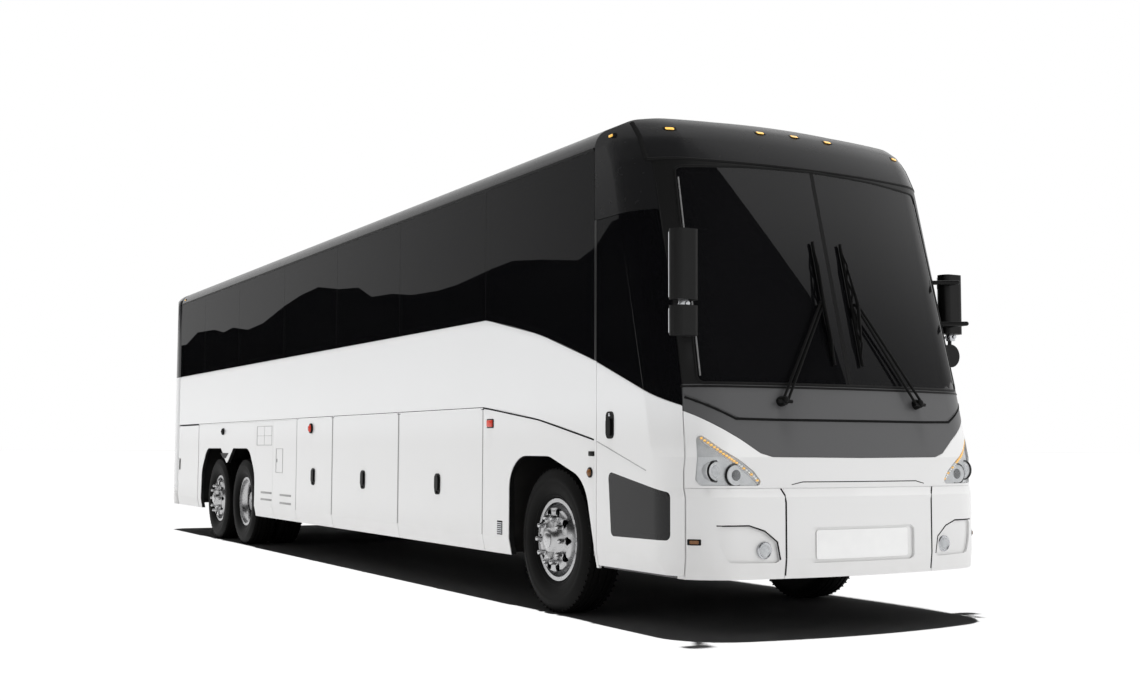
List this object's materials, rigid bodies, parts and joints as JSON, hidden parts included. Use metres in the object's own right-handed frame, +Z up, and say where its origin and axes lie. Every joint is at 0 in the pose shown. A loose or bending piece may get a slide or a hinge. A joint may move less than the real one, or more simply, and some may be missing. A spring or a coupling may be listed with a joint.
{
  "type": "coach bus",
  "caption": "High-deck touring coach with a raked windscreen, side luggage doors, a swing-out entrance door and steered front wheels.",
  "frame": {"origin": "on the ground under the middle of the bus", "axes": "+Z up, -Y towards the front, -X towards the entrance side"},
  "size_m": [2.8834, 13.84, 3.4998],
  "materials": {
    "white": "gloss",
    "dark_paint": "gloss",
    "side_glass": "gloss",
    "screen_glass": "gloss",
    "lamp_clear": "gloss",
    "lamp_red": "gloss",
    "frame_steel": "satin",
    "axle_iron": "matt",
    "floor_covering": "matt",
    "tyre": "matt",
    "wheel_alloy": "polished",
    "seat_fabric": "woven",
    "dash_plastic": "grained",
    "black_plastic": "satin"
  },
  "bodies": {
    "body": {"bay_floor": "frame_steel", "bulkheads": "frame_steel", "cockpit": "dash_plastic", "engine": "axle_iron", "entrance_steps": "floor_covering", "frame_rails": "frame_steel", "front_axle": "axle_iron", "front_bumper": "white", "front_cap": "dark_paint", "front_lamps": "lamp_clear", "front_panel": "white", "lower_panels": "white", "luggage_racks": "dash_plastic", "mirrors": "black_plastic", "passenger_floor": "floor_covering", "rear_axles": "axle_iron", "rear_bumper": "white", "rear_cap": "white", "rear_lamps": "lamp_red", "roof": "dark_paint", "screen_surround": "dark_paint", "seats": "seat_fabric", "side_walls": "white", "wheel_housings": "frame_steel", "windows": "side_glass", "windscreen": "screen_glass", "wipers": "black_plastic"},
    "knuckle_right": {"knuckle_right": "axle_iron"},
    "knuckle_left": {"knuckle_left": "axle_iron"},
    "wheel_front_left": {"tyre_front_left": "tyre", "rim_front_left": "wheel_alloy"},
    "wheel_front_right": {"tyre_front_right": "tyre", "rim_front_right": "wheel_alloy"},
    "wheel_drive_left": {"tyre_drive_left": "tyre", "rim_drive_left": "wheel_alloy"},
    "wheel_drive_right": {"tyre_drive_right": "tyre", "rim_drive_right": "wheel_alloy"},
    "wheel_tag_left": {"tyre_tag_left": "tyre", "rim_tag_left": "wheel_alloy"},
    "wheel_tag_right": {"tyre_tag_right": "tyre", "rim_tag_right": "wheel_alloy"},
    "entrance_arms": {"entrance_arms": "frame_steel"},
    "entrance_door": {"entrance_door": "white", "entrance_door_glass": "side_glass"},
    "luggage_door_left_1": {"luggage_door_left_1": "white"},
    "luggage_door_left_2": {"luggage_door_left_2": "white"},
    "luggage_door_left_3": {"luggage_door_left_3": "white"},
    "luggage_door_right_1": {"luggage_door_right_1": "white"},
    "luggage_door_right_2": {"luggage_door_right_2": "white"},
    "luggage_door_right_3": {"luggage_door_right_3": "white"},
    "service_door": {"service_door": "white"},
    "radiator_door": {"radiator_door": "white"},
    "engine_door": {"engine_door": "white"},
    "hatch_front": {"hatch_front": "dark_paint"},
    "hatch_rear": {"hatch_rear": "dark_paint"}
  },
  "joints": [
    {"name": "steer_right", "type": "hinge", "parent": "body", "child": "knuckle_right", "pos_m": [-0.985, -4.935, 0.53], "axis": [0, 0, 1], "range_deg": [-40, 40]},
    {"name": "wheel_front_right_turn", "type": "hinge", "parent": "knuckle_right", "child": "wheel_front_right", "pos_m": [-1.095, -4.935, 0.53], "axis": [1, 0, 0], "continuous": true},
    {"name": "wheel_drive_right_turn", "type": "hinge", "parent": "body", "child": "wheel_drive_right", "pos_m": [-0.9235, 3.21, 0.53], "axis": [1, 0, 0], "continuous": true},
    {"name": "wheel_tag_right_turn", "type": "hinge", "parent": "body", "child": "wheel_tag_right", "pos_m": [-1.095, 4.435, 0.53], "axis": [1, 0, 0], "continuous": true},
    {"name": "steer_left", "type": "hinge", "parent": "body", "child": "knuckle_left", "pos_m": [0.985, -4.935, 0.53], "axis": [0, 0, 1], "range_deg": [-40, 40]},
    {"name": "wheel_front_left_turn", "type": "hinge", "parent": "knuckle_left", "child": "wheel_front_left", "pos_m": [1.095, -4.935, 0.53], "axis": [1, 0, 0], "continuous": true},
    {"name": "wheel_drive_left_turn", "type": "hinge", "parent": "body", "child": "wheel_drive_left", "pos_m": [0.9235, 3.21, 0.53], "axis": [1, 0, 0], "continuous": true},
    {"name": "wheel_tag_left_turn", "type": "hinge", "parent": "body", "child": "wheel_tag_left", "pos_m": [1.095, 4.435, 0.53], "axis": [1, 0, 0], "continuous": true},
    {"name": "entrance_arm_swing", "type": "hinge", "parent": "body", "child": "entrance_arms", "pos_m": [-1.14, -6.48, 0.7], "axis": [0, 0, 1], "range_deg": [0, 110]},
    {"name": "entrance_door_swing", "type": "hinge", "parent": "entrance_arms", "child": "entrance_door", "pos_m": [-1.14, -5.875, 0.7], "axis": [0, 0, 1], "range_deg": [-110, 0]},
    {"name": "luggage_door_right_1_lift", "type": "hinge", "parent": "body", "child": "luggage_door_right_1", "pos_m": [-1.295, -2.9515, 1.515], "axis": [0, 1, 0], "range_deg": [0, 105]},
    {"name": "luggage_door_right_2_lift", "type": "hinge", "parent": "body", "child": "luggage_door_right_2", "pos_m": [-1.295, -1.145, 1.515], "axis": [0, 1, 0], "range_deg": [0, 105]},
    {"name": "luggage_door_right_3_lift", "type": "hinge", "parent": "body", "child": "luggage_door_right_3", "pos_m": [-1.295, 0.355, 1.515], "axis": [0, 1, 0], "range_deg": [0, 105]},
    {"name": "luggage_door_left_1_lift", "type": "hinge", "parent": "body", "child": "luggage_door_left_1", "pos_m": [1.295, -2.9515, 1.515], "axis": [0, -1, 0], "range_deg": [0, 105]},
    {"name": "luggage_door_left_2_lift", "type": "hinge", "parent": "body", "child": "luggage_door_left_2", "pos_m": [1.295, -1.145, 1.515], "axis": [0, -1, 0], "range_deg": [0, 105]},
    {"name": "luggage_door_left_3_lift", "type": "hinge", "parent": "body", "child": "luggage_door_left_3", "pos_m": [1.295, 0.355, 1.515], "axis": [0, -1, 0], "range_deg": [0, 105]},
    {"name": "service_door_swing", "type": "hinge", "parent": "body", "child": "service_door", "pos_m": [-1.295, 5.283, 1], "axis": [0, 0, 1], "range_deg": [0, 110]},
    {"name": "radiator_door_swing", "type": "hinge", "parent": "body", "child": "radiator_door", "pos_m": [1.295, 5.283, 1], "axis": [0, 0, -1], "range_deg": [0, 110]},
    {"name": "engine_door_lift", "type": "hinge", "parent": "body", "child": "engine_door", "pos_m": [0, 6.908, 1.76], "axis": [1, 0, 0], "range_deg": [0, 95]},
    {"name": "hatch_front_lift", "type": "hinge", "parent": "body", "child": "hatch_front", "pos_m": [0, -3.032, 3.4915], "axis": [1, 0, 0], "range_deg": [0, 60]},
    {"name": "hatch_rear_lift", "type": "hinge", "parent": "body", "child": "hatch_rear", "pos_m": [0, 2.368, 3.4915], "axis": [1, 0, 0], "range_deg": [0, 60]}
  ],
  "couplings": [
    {"joint": "steer_left", "follows": "steer_right", "ratio": 1},
    {"joint": "entrance_door_swing", "follows": "entrance_arm_swing", "ratio": -1}
  ]
}
